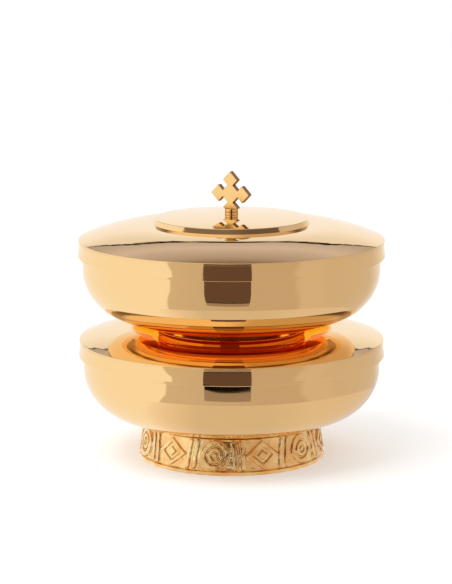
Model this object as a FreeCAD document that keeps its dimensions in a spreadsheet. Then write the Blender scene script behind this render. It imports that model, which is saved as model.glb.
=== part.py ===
import FreeCAD, Part
import math
import os
import Sketcher

# Two-tier stackable ciborium in gilt brass: a cast foot ring carries a bowl, a shallow cover closes
# that bowl and carries a second bowl, and a low domed lid with a small cross closes the second one.
# Origin: centre of the foot's base, +Z up, millimetres. The cross lies in the XZ plane.
doc = FreeCAD.newDocument("ciborium")

# Driving dimensions. Every level and fit below is worked out from these.
SIZES = {
    # foot
    "foot_radius": 49.2,            # outer radius at the base
    "foot_top_radius": 46.6,        # outer radius of the upper edge
    "foot_band": 1.8,               # plain band at the base, below the frieze
    "foot_wall": 4.0,
    "foot_height": 17.6,            # table to the face that carries the lower bowl
    "foot_rim": 2.4,                # ring's wall beside the web
    "foot_lip": 0.9,                # width of the upper edge, round the bowl
    "foot_bowl_gap": 0.5,           # between that edge and the bowl's underside
    "ledge_width": 4.0,             # ledge inside the ring, on which the web lies
    "ledge_height": 2.0,
    "web_thickness": 2.0,
    "web_hub_radius": 13.0,
    "web_hub_drop": 2.0,            # how much thicker the web is round the stud
    # bowls
    "bowl_radius": 78.0,
    "bowl_wall": 1.1,
    "bowl_height": 43.0,            # floor to rim
    "bowl_knuckle_radius": 26.0,    # the bend between the upright wall and the long arc
    "bowl_floor_drop": 4.1,         # how far the floor lies below the knuckle's circle
    "bowl_floor_radius": 30.0,      # flat of the floor
    # cover and lid
    "sheet": 1.0,
    "skirt_clearance": 1.0,         # between a bowl and the skirt round it
    "skirt_height": 8.8,            # skirt edge to the crease under the dome
    "skirt_lip": 0.4,               # how far the lip stands out past the crease
    "skirt_lip_height": 1.2,
    "skirt_sweep": 22.0,            # radius of the skirt's hollow curve
    "bearing_height": 1.2,
    "bearing_overhang": 2.0,        # past the inside of the bowl's rim
    "fit_clearance": 0.1,
    "cover_crown_margin": 12.4,     # seat ring to where the cover is highest
    "cover_crown_rise": 5.2,
    "cover_seat_margin": 2.4,       # level seat past the seat ring
    "cover_seat_rise": 1.0,
    "lid_rise": 8.2,                # crease to the flat under the raised disc
    # ring and spacer under the upper bowl
    "seat_ring_radius": 39.6,
    "seat_ring_wall": 1.6,
    "seat_ring_height": 4.6,
    "seat_ring_flare": 1.2,         # how far the ring's top stands out past its base
    "spacer_radius": 26.0,
    "spacer_height": 6.4,
    # raised disc, collar and cross
    "disc_radius": 40.9,
    "disc_taper": 0.75,
    "disc_step": 2.7,
    "disc_rise": 1.5,
    "disc_wall": 1.4,
    "disc_hub_radius": 8.0,
    "disc_flat_margin": 0.9,        # flat past the collar
    "collar_radius": 3.5,
    "collar_height": 3.1,
    "collar_groove_width": 0.5,
    "collar_groove_depth": 0.4,
    "collar_groove_count": 6,
    "collar_turn": 33.0,            # degrees from -Y to the first groove
    "cross_reach": 11.65,           # centre to each tip
    "cross_lozenge": 4.4,           # half of a lozenge's diagonal
    "cross_neck": 1.65,             # half of an arm's narrowest width
    "cross_plate": 1.8,
    "cross_foot": 0.65,             # widest point of the lowest lozenge to the collar
    # fasteners
    "stud_radius": 3.0,
    "stud_flange_radius": 9.0,
    "stud_flange_height": 1.5,
    "stem_radius": 1.5,
    "bore_clearance": 0.15,
    "thread_clearance": 0.05,
    "thread_end": 1.0,              # how far a thread shows past its nut
    "washer_radius": 8.0,
    "washer_height": 1.2,
    "nut_flats": 10.0,
    "nut_height": 5.0,
    "small_washer_radius": 4.5,
    "small_washer_height": 0.8,
    "small_nut_flats": 5.5,
    "small_nut_height": 2.4,
    # rounded edges
    "rim_round": 0.4,
    "edge_round": 0.3,
}

sheet = doc.addObject("Spreadsheet::Sheet", "Sizes")
for row, (alias, value) in enumerate(SIZES.items(), start=1):
    sheet.set(f"A{row}", alias)
    sheet.set(f"B{row}", str(value))
    sheet.setAlias(f"B{row}", alias)
doc.recompute()


def sized(formula):
    """Full expression for a short formula in which each word is a size from the sheet."""
    words = formula.replace("(", " ( ").replace(")", " ) ").split()
    return " ".join(f"Sizes.{word}" if word in SIZES else word for word in words)


def value_of(formula):
    """Number that a formula gives now."""
    return float(sheet.evalExpression(sized(formula)))


# Levels shared by several pieces, as formulas in the sizes.
SKIRT_INNER = "bowl_radius + skirt_clearance"
CREASE_RADIUS = f"{SKIRT_INNER} + sheet"
BEARING_LEVEL = "skirt_height - sheet - bearing_height"
COVER_SEAT = "skirt_height + cover_seat_rise"
LID_FLAT = "skirt_height + lid_rise"
KNUCKLE_LEVEL = "bowl_knuckle_radius + bowl_floor_drop"
STUD_BORE = "stud_radius + bore_clearance"
STEM_BORE = "stem_radius + bore_clearance"

COVER_LEVEL = f"foot_height + bowl_height - ( {BEARING_LEVEL} )"
SEAT_LEVEL = f"{COVER_LEVEL} + {COVER_SEAT}"
UPPER_FLOOR = f"{SEAT_LEVEL} + spacer_height"
LID_LEVEL = f"{UPPER_FLOOR} + bowl_height - ( {BEARING_LEVEL} )"
DISC_LEVEL = f"{LID_LEVEL} + {LID_FLAT}"
COLLAR_LEVEL = f"{DISC_LEVEL} + disc_step + disc_rise"
CROSS_LEVEL = f"{COLLAR_LEVEL} + collar_height"


# Radius of the bowl's long arc, which is level at the floor's edge and meets the knuckle smoothly.
BOWL_SWEEP = (
    "( ( bowl_radius - bowl_knuckle_radius - bowl_floor_radius ) ^ 2"
    f" + ( {KNUCKLE_LEVEL} ) ^ 2 - bowl_knuckle_radius ^ 2 ) / ( 2 * bowl_floor_drop )"
)


def bowl_skin(radius):
    """Formula for the height of a bowl's outside above its floor, at a radius on the long arc."""
    return f"{BOWL_SWEEP} - ( ( {BOWL_SWEEP} ) ^ 2 - ( {radius} - bowl_floor_radius ) ^ 2 ) ^ 0.5"


def place(piece, level, turn=0.0):
    """Sets a piece at its height on the vessel's axis."""
    spin = FreeCAD.Rotation(FreeCAD.Vector(0, 0, 1), turn)
    piece.Placement = FreeCAD.Placement(FreeCAD.Vector(0, 0, 0), spin)
    piece.setExpression("Placement.Base.z", sized(level))


def new_body(label):
    body = doc.addObject("PartDesign::Body", label)
    body.Label = label
    return body


def new_sketch(body, name, role):
    """Sketch on one of the body's own origin planes."""
    plane = next(item for item in body.Origin.OriginFeatures if item.Role == role)
    sketch = body.newObject("Sketcher::SketchObject", name)
    sketch.AttachmentSupport = [(plane, "")]
    sketch.MapMode = "FlatFace"
    return sketch


def bind(sketch, constraint, formula):
    """Adds a dimension and ties it to a formula in the sizes."""
    index = sketch.addConstraint(constraint)
    sketch.setExpression(f"Constraints[{index}]", sized(formula))


def pin(sketch, curve, end, across, up):
    """Fixes one end of a curve at two formulas, across and up from the sketch's origin."""
    if across == "0":
        sketch.addConstraint(Sketcher.Constraint("PointOnObject", curve, end, -2))
    else:
        bind(sketch, Sketcher.Constraint("DistanceX", -1, 1, curve, end, value_of(across)), across)
    if up == "0":
        sketch.addConstraint(Sketcher.Constraint("PointOnObject", curve, end, -1))
    else:
        bind(sketch, Sketcher.Constraint("DistanceY", -1, 1, curve, end, value_of(up)), up)


def add_arc(sketch, first, last, centre):
    """Shorter arc between two points; returns its number and which end each point is on."""
    angle_first = math.atan2(first.y - centre.y, first.x - centre.x)
    angle_last = math.atan2(last.y - centre.y, last.x - centre.x)
    forward = math.sin(angle_last - angle_first) > 0
    start, stop = (angle_first, angle_last) if forward else (angle_last, angle_first)
    circle = Part.Circle(centre, FreeCAD.Vector(0, 0, 1), (first - centre).Length)
    number = sketch.addGeometry(Part.ArcOfCircle(circle, start, stop), False)
    return (number, 1, 2) if forward else (number, 2, 1)


def level_centre(crest, other):
    """Centre of the circle that is level at the crest and passes through the other point."""
    run = other.x - crest.x
    drop = other.y - crest.y
    radius = (run * run + drop * drop) / (2 * drop)
    return FreeCAD.Vector(crest.x, crest.y + radius, 0)


def sweep_centre(first, last, radius):
    """Centre of an arc of the given radius, on the right of the way from first to last."""
    middle = (first + last) * 0.5
    half = (last - first) * 0.5
    right = FreeCAD.Vector(half.y, -half.x, 0).normalize()
    return middle + right * math.sqrt(radius * radius - half.Length ** 2)


def outline(sketch, corners):
    """Closed outline. Each corner is (across, up, next side), and a side is one of
    None, a straight line;
    "crest here" or "crest next", an arc that is level at this corner or at the next one;
    ("sweep", formula), an arc of that radius with its centre on the right of the way round."""
    points = [FreeCAD.Vector(value_of(across), value_of(up), 0) for across, up, side in corners]
    sides = []
    for index, (across, up, side) in enumerate(corners):
        first = points[index]
        last = points[(index + 1) % len(points)]
        if side is None:
            sides.append((sketch.addGeometry(Part.LineSegment(first, last), False), 1, 2))
        elif side == "crest here":
            sides.append(add_arc(sketch, first, last, level_centre(first, last)))
        elif side == "crest next":
            sides.append(add_arc(sketch, first, last, level_centre(last, first)))
        else:
            sides.append(add_arc(sketch, first, last, sweep_centre(first, last, value_of(side[1]))))
    for index, (across, up, side) in enumerate(corners):
        curve, near_end, far_end = sides[index]
        before, before_near, before_far = sides[index - 1]
        sketch.addConstraint(Sketcher.Constraint("Coincident", before, before_far, curve, near_end))
        pin(sketch, curve, near_end, across, up)
        if side == "crest here":
            sketch.addConstraint(Sketcher.Constraint("Vertical", curve, 3, curve, near_end))
        elif side == "crest next":
            sketch.addConstraint(Sketcher.Constraint("Vertical", curve, 3, curve, far_end))
        elif side is not None:
            bind(sketch, Sketcher.Constraint("Radius", curve, value_of(side[1])), side[1])


def spin(body, sketch, name="Turned"):
    """Turns a sketch a full circle about the vessel's axis."""
    turned = body.newObject("PartDesign::Revolution", name)
    turned.Profile = sketch
    turned.ReferenceAxis = (sketch, ["V_Axis"])
    turned.Angle = 360
    sketch.Visibility = False
    doc.recompute()
    return turned


def soften(body, base, circles, radius, name="Rounded"):
    """Rounds the turned edges that lie at the given (radius, level) formulas."""
    wanted = [(value_of(across), value_of(up)) for across, up in circles]
    names = []
    for number, edge in enumerate(base.Shape.Edges, start=1):
        if not isinstance(edge.Curve, Part.Circle):
            continue
        found = (edge.Curve.Radius, edge.Curve.Center.z)
        if any(math.dist(found, target) < 0.001 for target in wanted):
            names.append(f"Edge{number}")
    fillet = body.newObject("PartDesign::Fillet", name)
    fillet.Base = (base, names)
    fillet.setExpression("Radius", sized(radius))
    doc.recompute()
    return fillet


def turned_piece(label, level, corners, rounded=(), radius="edge_round"):
    """Piece made on the lathe from one outline."""
    body = new_body(label)
    sketch = new_sketch(body, "Outline", "XZ_Plane")
    outline(sketch, corners)
    turned = spin(body, sketch)
    if rounded:
        soften(body, turned, rounded, radius)
    place(body, level)
    return body


def bowl(label, level):
    """Spun bowl: an upright wall turns in over a knuckle and a long arc to a flat floor.
    The inside follows the outside at one wall's distance, from the same two centres."""
    body = new_body(label)
    sketch = new_sketch(body, "Outline", "XZ_Plane")
    floor = value_of("bowl_floor_radius")
    knuckle = FreeCAD.Vector(value_of("bowl_radius - bowl_knuckle_radius"), value_of(KNUCKLE_LEVEL), 0)
    turn = value_of("bowl_knuckle_radius")
    sweep = FreeCAD.Vector(floor, value_of(BOWL_SWEEP), 0)
    outward = (knuckle - sweep).normalize()

    def skin(inset, up):
        """Floor, long arc, knuckle and wall of one side of the sheet, from the axis to the rim."""
        wall = value_of(f"bowl_radius - {inset}") if inset != "0" else value_of("bowl_radius")
        lift = value_of(up)
        join = knuckle + outward * (turn - lift)
        across = f"bowl_radius - {inset}" if inset != "0" else "bowl_radius"
        small = f"bowl_knuckle_radius - {inset}" if inset != "0" else "bowl_knuckle_radius"
        axis_end = FreeCAD.Vector(0, lift, 0)
        floor_end = FreeCAD.Vector(floor, lift, 0)
        wall_start = FreeCAD.Vector(wall, knuckle.y, 0)
        wall_end = FreeCAD.Vector(wall, value_of("bowl_height"), 0)
        flat = sketch.addGeometry(Part.LineSegment(axis_end, floor_end), False)
        long_arc, long_near, long_far = add_arc(sketch, floor_end, join, sweep)
        short_arc, short_near, short_far = add_arc(sketch, join, wall_start, knuckle)
        upright = sketch.addGeometry(Part.LineSegment(wall_start, wall_end), False)
        pin(sketch, flat, 1, "0", up)
        pin(sketch, flat, 2, "bowl_floor_radius", up)
        sketch.addConstraint(Sketcher.Constraint("Coincident", flat, 2, long_arc, long_near))
        sketch.addConstraint(Sketcher.Constraint("Vertical", long_arc, 3, long_arc, long_near))
        sketch.addConstraint(Sketcher.Constraint("Tangent", long_arc, long_far, short_arc, short_near))
        bind(sketch, Sketcher.Constraint("Radius", short_arc, turn - lift), small)
        sketch.addConstraint(Sketcher.Constraint("Horizontal", short_arc, 3, short_arc, short_far))
        sketch.addConstraint(Sketcher.Constraint("Coincident", short_arc, short_far, upright, 1))
        pin(sketch, upright, 1, across, KNUCKLE_LEVEL)
        pin(sketch, upright, 2, across, "bowl_height")
        return flat, upright

    outer_flat, outer_wall = skin("0", "0")
    inner_flat, inner_wall = skin("bowl_wall", "bowl_wall")
    for first, first_end, last, last_end in ((outer_wall, 2, inner_wall, 2), (inner_flat, 1, outer_flat, 1)):
        start = sketch.getPoint(first, first_end)
        stop = sketch.getPoint(last, last_end)
        bridge = sketch.addGeometry(Part.LineSegment(start, stop), False)
        sketch.addConstraint(Sketcher.Constraint("Coincident", first, first_end, bridge, 1))
        sketch.addConstraint(Sketcher.Constraint("Coincident", bridge, 2, last, last_end))
    turned = spin(body, sketch)
    rim = [("bowl_radius", "bowl_height"), ("bowl_radius - bowl_wall", "bowl_height")]
    soften(body, turned, rim, "rim_round")
    place(body, level)


def shell(label, level, top, bore):
    """Spun cover or lid: a skirt with a lip and a hollow sweep, a crease, and the given top.
    The top is a list of (across, up, next side) from the crease's inner end to the bore."""
    under = [(across, f"{up} - sheet") for across, up, side in top]
    sides = [side for across, up, side in top]
    corners = [
        (SKIRT_INNER, "0", None),
        (f"{CREASE_RADIUS} + skirt_lip", "0", None),
        (f"{CREASE_RADIUS} + skirt_lip", "skirt_lip_height", ("sweep", "skirt_sweep")),
        (CREASE_RADIUS, "skirt_height", "crest next"),
        *top,
        (bore, top[-1][1], None),
        (bore, under[-1][1], None),
    ]
    back = {None: None, "crest here": "crest next"}
    for index in range(len(top) - 1, 0, -1):
        corners.append((*under[index], back[sides[index - 1]]))
    corners.append((*under[0], "crest here"))
    corners.append((SKIRT_INNER, "skirt_height - sheet", None))
    edges = [
        (f"{CREASE_RADIUS} + skirt_lip", "0"),
        (f"{CREASE_RADIUS} + skirt_lip", "skirt_lip_height"),
        (CREASE_RADIUS, "skirt_height"),
    ]
    turned_piece(label, level, corners, edges)


def bearing_ring(label, level):
    """Flat ring in the inner corner of a cover, the face that rests on the bowl's rim."""
    outer = f"{SKIRT_INNER} - fit_clearance"
    inner = "bowl_radius - bowl_wall - bearing_overhang"
    corners = [
        (inner, "0", None),
        (outer, "0", None),
        (outer, "bearing_height", None),
        (inner, "bearing_height", None),
    ]
    turned_piece(label, f"{level} + {BEARING_LEVEL}", corners)


def washer(label, level, radius, height, bore):
    """Plain washer, its top face at the given level."""
    blank = doc.addObject("Part::Cylinder", f"{label}_blank")
    blank.setExpression("Radius", sized(radius))
    blank.setExpression("Height", sized(height))
    drill = doc.addObject("Part::Cylinder", f"{label}_drill")
    drill.setExpression("Radius", sized(bore))
    drill.setExpression("Height", sized(height))
    finish_cut(label, blank, drill, f"{level} - {height}")


def hex_nut(label, level, flats, height, bore):
    """Hexagon nut, its top face at the given level."""
    blank = doc.addObject("Part::Prism", f"{label}_blank")
    blank.Polygon = 6
    blank.setExpression("Circumradius", f"{sized(flats)} / sqrt(3)")
    blank.setExpression("Height", sized(height))
    drill = doc.addObject("Part::Cylinder", f"{label}_drill")
    drill.setExpression("Radius", sized(bore))
    drill.setExpression("Height", sized(height))
    finish_cut(label, blank, drill, f"{level} - {height}")


def finish_cut(label, blank, drill, level):
    """Cuts the second solid from the first, and places the result."""
    cut = doc.addObject("Part::Cut", label)
    cut.Label = label
    cut.Base = blank
    cut.Tool = drill
    place(cut, level)


def flanged_stud(label, level, clamped):
    """Stud whose flange is brazed under a bowl's floor; clamped is the stack its nut holds."""
    length = f"{clamped} + washer_height + nut_height + thread_end"
    corners = [
        ("0", "0", None),
        ("stud_radius", "0", None),
        ("stud_radius", f"{length} - stud_flange_height", None),
        ("stud_flange_radius", f"{length} - stud_flange_height", None),
        ("stud_flange_radius", length, None),
        ("0", length, None),
    ]
    turned_piece(label, f"{level} - ( {length} )", corners)


def clamp(prefix, floor, clamped):
    """Stud, washer and nut that draw a bowl down on what carries it."""
    flanged_stud(f"{prefix}_stud", floor, clamped)
    underside = f"{floor} - ( {clamped} )"
    washer(f"{prefix}_washer", underside, "washer_radius", "washer_height", STUD_BORE)
    below = f"{underside} - washer_height"
    hex_nut(f"{prefix}_nut", below, "nut_flats", "nut_height", "stud_radius + thread_clearance")


# Base tier. The foot is a cast ring, its outside tapering from a plain band. A ledge inside it
# carries the web, and its upper edge stands a little way up round the bowl without touching it.
REBATE_RADIUS = "foot_top_radius - foot_rim"
LEDGE_RADIUS = f"{REBATE_RADIUS} - ledge_width"
LEDGE_LEVEL = "foot_height - web_thickness"
LIP_RADIUS = "foot_top_radius - foot_lip"
FOOT_TOP = f"foot_height + {bowl_skin(LIP_RADIUS)} - foot_bowl_gap"
RECESS_RADIUS = "stud_flange_radius + bore_clearance"
RECESS_FLOOR = "stud_flange_height + bore_clearance"
turned_piece(
    "foot_ring",
    "0",
    [
        ("foot_radius - foot_wall", "0", None),
        ("foot_radius", "0", None),
        ("foot_radius", "foot_band", None),
        ("foot_top_radius", FOOT_TOP, None),
        (LIP_RADIUS, FOOT_TOP, None),
        (REBATE_RADIUS, "foot_height", None),
        (REBATE_RADIUS, LEDGE_LEVEL, None),
        (LEDGE_RADIUS, LEDGE_LEVEL, None),
        (LEDGE_RADIUS, f"{LEDGE_LEVEL} - ledge_height", None),
    ],
    [("foot_radius", "0"), ("foot_radius", "foot_band"), ("foot_top_radius", FOOT_TOP)],
)
turned_piece(
    "foot_web",
    "0",
    [
        (STUD_BORE, f"{LEDGE_LEVEL} - web_hub_drop", None),
        ("web_hub_radius", f"{LEDGE_LEVEL} - web_hub_drop", None),
        ("web_hub_radius", LEDGE_LEVEL, None),
        (f"{REBATE_RADIUS} - fit_clearance", LEDGE_LEVEL, None),
        (f"{REBATE_RADIUS} - fit_clearance", "foot_height", None),
        (RECESS_RADIUS, "foot_height", None),
        (RECESS_RADIUS, f"foot_height - ( {RECESS_FLOOR} )", None),
        (STUD_BORE, f"foot_height - ( {RECESS_FLOOR} )", None),
    ],
)
bowl("lower_bowl", "foot_height")
clamp("base", "foot_height", "web_thickness + web_hub_drop")

# Upper tier. The cover rises from its crease to a crown, then dips to the level seat.
shell(
    "cover_shell",
    COVER_LEVEL,
    [
        ("seat_ring_radius + cover_crown_margin", "skirt_height + cover_crown_rise", "crest here"),
        ("seat_ring_radius + cover_seat_margin", COVER_SEAT, None),
    ],
    STUD_BORE,
)
bearing_ring("cover_bearing_ring", COVER_LEVEL)
turned_piece(
    "seat_ring",
    SEAT_LEVEL,
    [
        ("seat_ring_radius - seat_ring_wall - seat_ring_flare", "0", None),
        ("seat_ring_radius - seat_ring_flare", "0", None),
        ("seat_ring_radius", "seat_ring_height", None),
        ("seat_ring_radius - seat_ring_wall", "seat_ring_height", None),
    ],
    [("seat_ring_radius", "seat_ring_height"), ("seat_ring_radius - seat_ring_wall", "seat_ring_height")],
)
turned_piece(
    "seat_spacer",
    SEAT_LEVEL,
    [
        (STUD_BORE, "0", None),
        ("spacer_radius", "0", None),
        ("spacer_radius", "spacer_height", None),
        (RECESS_RADIUS, "spacer_height", None),
        (RECESS_RADIUS, f"spacer_height - ( {RECESS_FLOOR} )", None),
        (STUD_BORE, f"spacer_height - ( {RECESS_FLOOR} )", None),
    ],
)
bowl("upper_bowl", UPPER_FLOOR)
clamp("tier", UPPER_FLOOR, "spacer_height + sheet")

# Lid. One arc rises from the crease to the flat that carries the raised disc.
shell("lid_shell", LID_LEVEL, [("disc_radius", LID_FLAT, None)], STEM_BORE)
bearing_ring("lid_bearing_ring", LID_LEVEL)
turned_piece(
    "lid_disc",
    DISC_LEVEL,
    [
        (STEM_BORE, "0", None),
        ("disc_hub_radius", "0", None),
        ("disc_hub_radius", "disc_step - disc_wall", None),
        ("disc_radius - disc_taper - disc_wall", "disc_step - disc_wall", None),
        ("disc_radius - disc_taper - disc_wall", "0", None),
        ("disc_radius", "0", None),
        ("disc_radius - disc_taper", "disc_step", "crest next"),
        ("collar_radius + disc_flat_margin", "disc_step + disc_rise", None),
        (STEM_BORE, "disc_step + disc_rise", None),
    ],
    [("disc_radius - disc_taper", "disc_step")],
)


def lid_collar():
    """Small round collar with upright grooves, the first one turned away from the cross's face."""
    body = turned_piece(
        "lid_collar",
        COLLAR_LEVEL,
        [
            (STEM_BORE, "0", None),
            ("collar_radius", "0", None),
            ("collar_radius", "collar_height", None),
            (STEM_BORE, "collar_height", None),
        ],
    )
    blank_volume = body.Shape.Volume
    sketch = new_sketch(body, "GrooveOutline", "XY_Plane")
    half = "collar_groove_width / 2"
    bed = "collar_radius - collar_groove_depth"
    beyond = "collar_radius + collar_groove_depth"
    sides = [(f"0 - {half}", bed), (half, bed), (half, beyond), (f"0 - {half}", beyond)]
    outline(sketch, [(across, up, None) for across, up in sides])
    pocket = body.newObject("PartDesign::Pocket", "Groove")
    pocket.Profile = sketch
    pocket.Type = "ThroughAll"
    pocket.Reversed = True
    doc.recompute()
    pattern = body.newObject("PartDesign::PolarPattern", "Grooves")
    pattern.Originals = [pocket]
    pattern.Axis = (sketch, ["N_Axis"])
    pattern.Angle = 360
    pattern.setExpression("Occurrences", sized("collar_groove_count"))
    body.Tip = pattern
    doc.recompute()
    if body.Shape.Volume >= blank_volume:
        raise RuntimeError("the collar's grooves cut nothing")
    place(body, COLLAR_LEVEL, 180 + value_of("collar_turn"))


def lid_cross():
    """Flat cross with four lozenge ends, the lowest cut off level where it stands on the collar,
    and a threaded stem that passes down through the collar, the disc and the lid."""
    body = new_body("lid_cross")
    sketch = new_sketch(body, "CrossOutline", "XZ_Plane")
    arm = "cross_reach - cross_lozenge"
    notch = f"{arm} - cross_lozenge + cross_neck"
    centre = f"{arm} + cross_foot"
    right_half = [
        ("0", f"{centre} + cross_reach"),
        ("cross_lozenge", f"{centre} + {arm}"),
        ("cross_neck", f"{centre} + {notch}"),
        (notch, f"{centre} + cross_neck"),
        (arm, f"{centre} + cross_lozenge"),
        ("cross_reach", centre),
        (arm, f"{centre} - cross_lozenge"),
        (notch, f"{centre} - cross_neck"),
        ("cross_neck", f"{centre} - ( {notch} )"),
        ("cross_lozenge", "cross_foot"),
        ("cross_lozenge - cross_foot", "0"),
    ]
    right = [FreeCAD.Vector(value_of(across), value_of(up), 0) for across, up in right_half]
    left = [FreeCAD.Vector(-point.x, point.y, 0) for point in reversed(right[1:])]
    loop = right + left
    count = len(loop)
    for index in range(count):
        sketch.addGeometry(Part.LineSegment(loop[index], loop[(index + 1) % count]), False)
    for index in range(count):
        sketch.addConstraint(Sketcher.Constraint("Coincident", index, 2, (index + 1) % count, 1))
    for index, (across, up) in enumerate(right_half):
        pin(sketch, index, 1, across, up)
    for index in range(1, len(right_half)):
        sketch.addConstraint(Sketcher.Constraint("Symmetric", index, 1, count - index, 1, -2))
    plate = body.newObject("PartDesign::Pad", "Plate")
    plate.Profile = sketch
    plate.setExpression("Length", sized("cross_plate"))
    plate.Midplane = True
    doc.recompute()
    stem_sketch = new_sketch(body, "StemOutline", "XY_Plane")
    radius = value_of("stem_radius")
    circle = Part.Circle(FreeCAD.Vector(0, 0, 0), FreeCAD.Vector(0, 0, 1), radius)
    stem_sketch.addGeometry(circle, False)
    stem_sketch.addConstraint(Sketcher.Constraint("Coincident", 0, 3, -1, 1))
    bind(stem_sketch, Sketcher.Constraint("Radius", 0, radius), "stem_radius")
    stem = body.newObject("PartDesign::Pad", "Stem")
    stem.Profile = stem_sketch
    through = "collar_height + disc_rise + disc_step + sheet"
    stem.setExpression("Length", sized(f"{through} + small_washer_height + small_nut_height + thread_end"))
    stem.Reversed = True
    doc.recompute()
    place(body, CROSS_LEVEL)


lid_collar()
lid_cross()
LID_UNDERSIDE = f"{DISC_LEVEL} - sheet"
washer("lid_washer", LID_UNDERSIDE, "small_washer_radius", "small_washer_height", STEM_BORE)
hex_nut(
    "lid_nut",
    f"{LID_UNDERSIDE} - small_washer_height",
    "small_nut_flats",
    "small_nut_height",
    "stem_radius + thread_clearance",
)

NODES = [
    "foot_ring", "foot_web", "lower_bowl", "base_stud", "base_washer", "base_nut",
    "cover_shell", "cover_bearing_ring", "seat_ring", "seat_spacer", "upper_bowl",
    "tier_stud", "tier_washer", "tier_nut",
    "lid_shell", "lid_bearing_ring", "lid_disc", "lid_collar", "lid_cross", "lid_washer", "lid_nut",
]

doc.recompute()
for item in doc.Objects:
    if "Invalid" in item.State or "Error" in item.State:
        raise RuntimeError(f"{item.Name} did not compute: {item.State}")
shapes = {}
for label in NODES:
    shape = doc.getObjectsByLabel(label)[0].Shape
    if shape.isNull() or not shape.isValid():
        raise RuntimeError(f"{label} has no valid shape")
    shapes[label] = shape
os.makedirs("parts", exist_ok=True)
for label, shape in shapes.items():
    shape.exportStep(f"parts/{label}.step")
    box = shape.BoundBox
    print(f"{label:20s} {len(shape.Solids)} solid  z {box.ZMin:8.3f} to {box.ZMax:8.3f}  r {box.XMax:7.3f}")
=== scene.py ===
import math

import bmesh
import bpy
import numpy as np
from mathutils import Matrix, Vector


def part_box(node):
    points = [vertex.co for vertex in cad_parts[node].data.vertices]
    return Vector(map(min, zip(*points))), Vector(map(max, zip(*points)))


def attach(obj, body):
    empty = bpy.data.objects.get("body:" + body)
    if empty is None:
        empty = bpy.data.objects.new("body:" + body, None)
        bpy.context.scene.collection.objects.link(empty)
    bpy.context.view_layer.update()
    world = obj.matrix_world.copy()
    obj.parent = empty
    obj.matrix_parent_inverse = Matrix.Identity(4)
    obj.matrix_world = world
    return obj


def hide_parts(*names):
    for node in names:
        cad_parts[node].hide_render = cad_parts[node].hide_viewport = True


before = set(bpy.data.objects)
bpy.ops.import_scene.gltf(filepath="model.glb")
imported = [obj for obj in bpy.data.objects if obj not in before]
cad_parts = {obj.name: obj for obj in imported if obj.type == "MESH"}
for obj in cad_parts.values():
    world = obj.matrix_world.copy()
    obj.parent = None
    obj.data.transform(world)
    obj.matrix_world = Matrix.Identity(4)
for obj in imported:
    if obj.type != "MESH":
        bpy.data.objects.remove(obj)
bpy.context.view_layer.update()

MM = 0.001


# ---------------------------------------------------------------------------------------------
# Foot ring. A gilt brass casting with a hand-chased frieze between a plain band at the base and
# the edge that stands round the bowl. It is cast in one piece and carries everything above it.


def arc(centre, radius, start, stop, count=12):
    """Points on a circle of the (r, z) half-plane, from one angle to another, in degrees."""
    angle = np.radians(np.linspace(start, stop, count))
    across = centre[0] + radius * np.cos(angle)
    return np.stack([across, centre[1] + radius * np.sin(angle)], axis=1)


def line(first, last, count=12):
    """Straight stretch whose points gather towards both ends by half a cosine wave, so that the
    shading of a rounded corner stays at the corner."""
    share = (1 - np.cos(np.linspace(0, math.pi, count))) / 2
    return np.array(first) + share[:, None] * (np.array(last) - np.array(first))


def joined(stretches, rounds, closed):
    """Outline of stretches laid end to end, with each corner replaced by a small arc.
    Where two sides meet at turn t, an arc of radius r starts r tan(t / 2) before the corner."""
    stretches = [np.array(stretch, float) for stretch in stretches]
    last = len(stretches) if closed else len(stretches) - 1
    corners = {}
    for index in range(last):
        here, after = stretches[index], stretches[(index + 1) % len(stretches)]
        radius = rounds.get(index, 0)
        if radius == 0:
            continue
        point = here[-1]
        come = (point - here[-2]) / np.linalg.norm(point - here[-2])
        go = (after[1] - point) / np.linalg.norm(after[1] - point)
        side = np.sign(come[0] * go[1] - come[1] * go[0])
        turn = math.acos(float(np.clip(come @ go, -1, 1)))
        reach = radius * math.tan(turn / 2)
        normal = np.array([-come[1], come[0]]) * side
        centre = point - come * reach + normal * radius
        step = np.linspace(0, turn, 7)[:, None]
        corners[index] = (reach, centre - normal * radius * np.cos(step) + come * radius * np.sin(step))
    points = []
    for index, stretch in enumerate(stretches):
        keep = np.ones(len(stretch), bool)
        if index in corners:
            keep &= np.linalg.norm(stretch - stretch[-1], axis=1) > corners[index][0] * 1.05
        before = (index - 1) % len(stretches)
        if before in corners:
            keep &= np.linalg.norm(stretch - stretch[0], axis=1) > corners[before][0] * 1.05
        elif closed or index > 0:
            keep[0] = False
        points.append(stretch[keep])
        if index in corners:
            points.append(corners[index][1])
    return np.concatenate(points)


def make_piece(name, points, faces, sharp=32):
    """Mesh object at the origin, shaded smooth with edges sharp past the given angle."""
    mesh = bpy.data.meshes.new(name)
    mesh.from_pydata(points.tolist(), [], faces)
    mesh.polygons.foreach_set("use_smooth", np.ones(len(mesh.polygons), bool))
    mesh.set_sharp_from_angle(angle=math.radians(sharp))
    piece = bpy.data.objects.new(name, mesh)
    bpy.context.scene.collection.objects.link(piece)
    return piece


def lattice(across, along, wrap_along):
    """Quads of a grid of points that closes round its first index, and along its second if asked.
    Round is anticlockwise from above and along runs anticlockwise in (r, z), so faces look out."""
    i = np.arange(across)[:, None]
    j = np.arange(along if wrap_along else along - 1)[None, :]
    following = (i + 1) % across
    above = (j + 1) % along
    quads = [i * along + j, following * along + j, following * along + above, i * along + above]
    return np.stack(np.broadcast_arrays(*quads), axis=-1).reshape(-1, 4)


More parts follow.
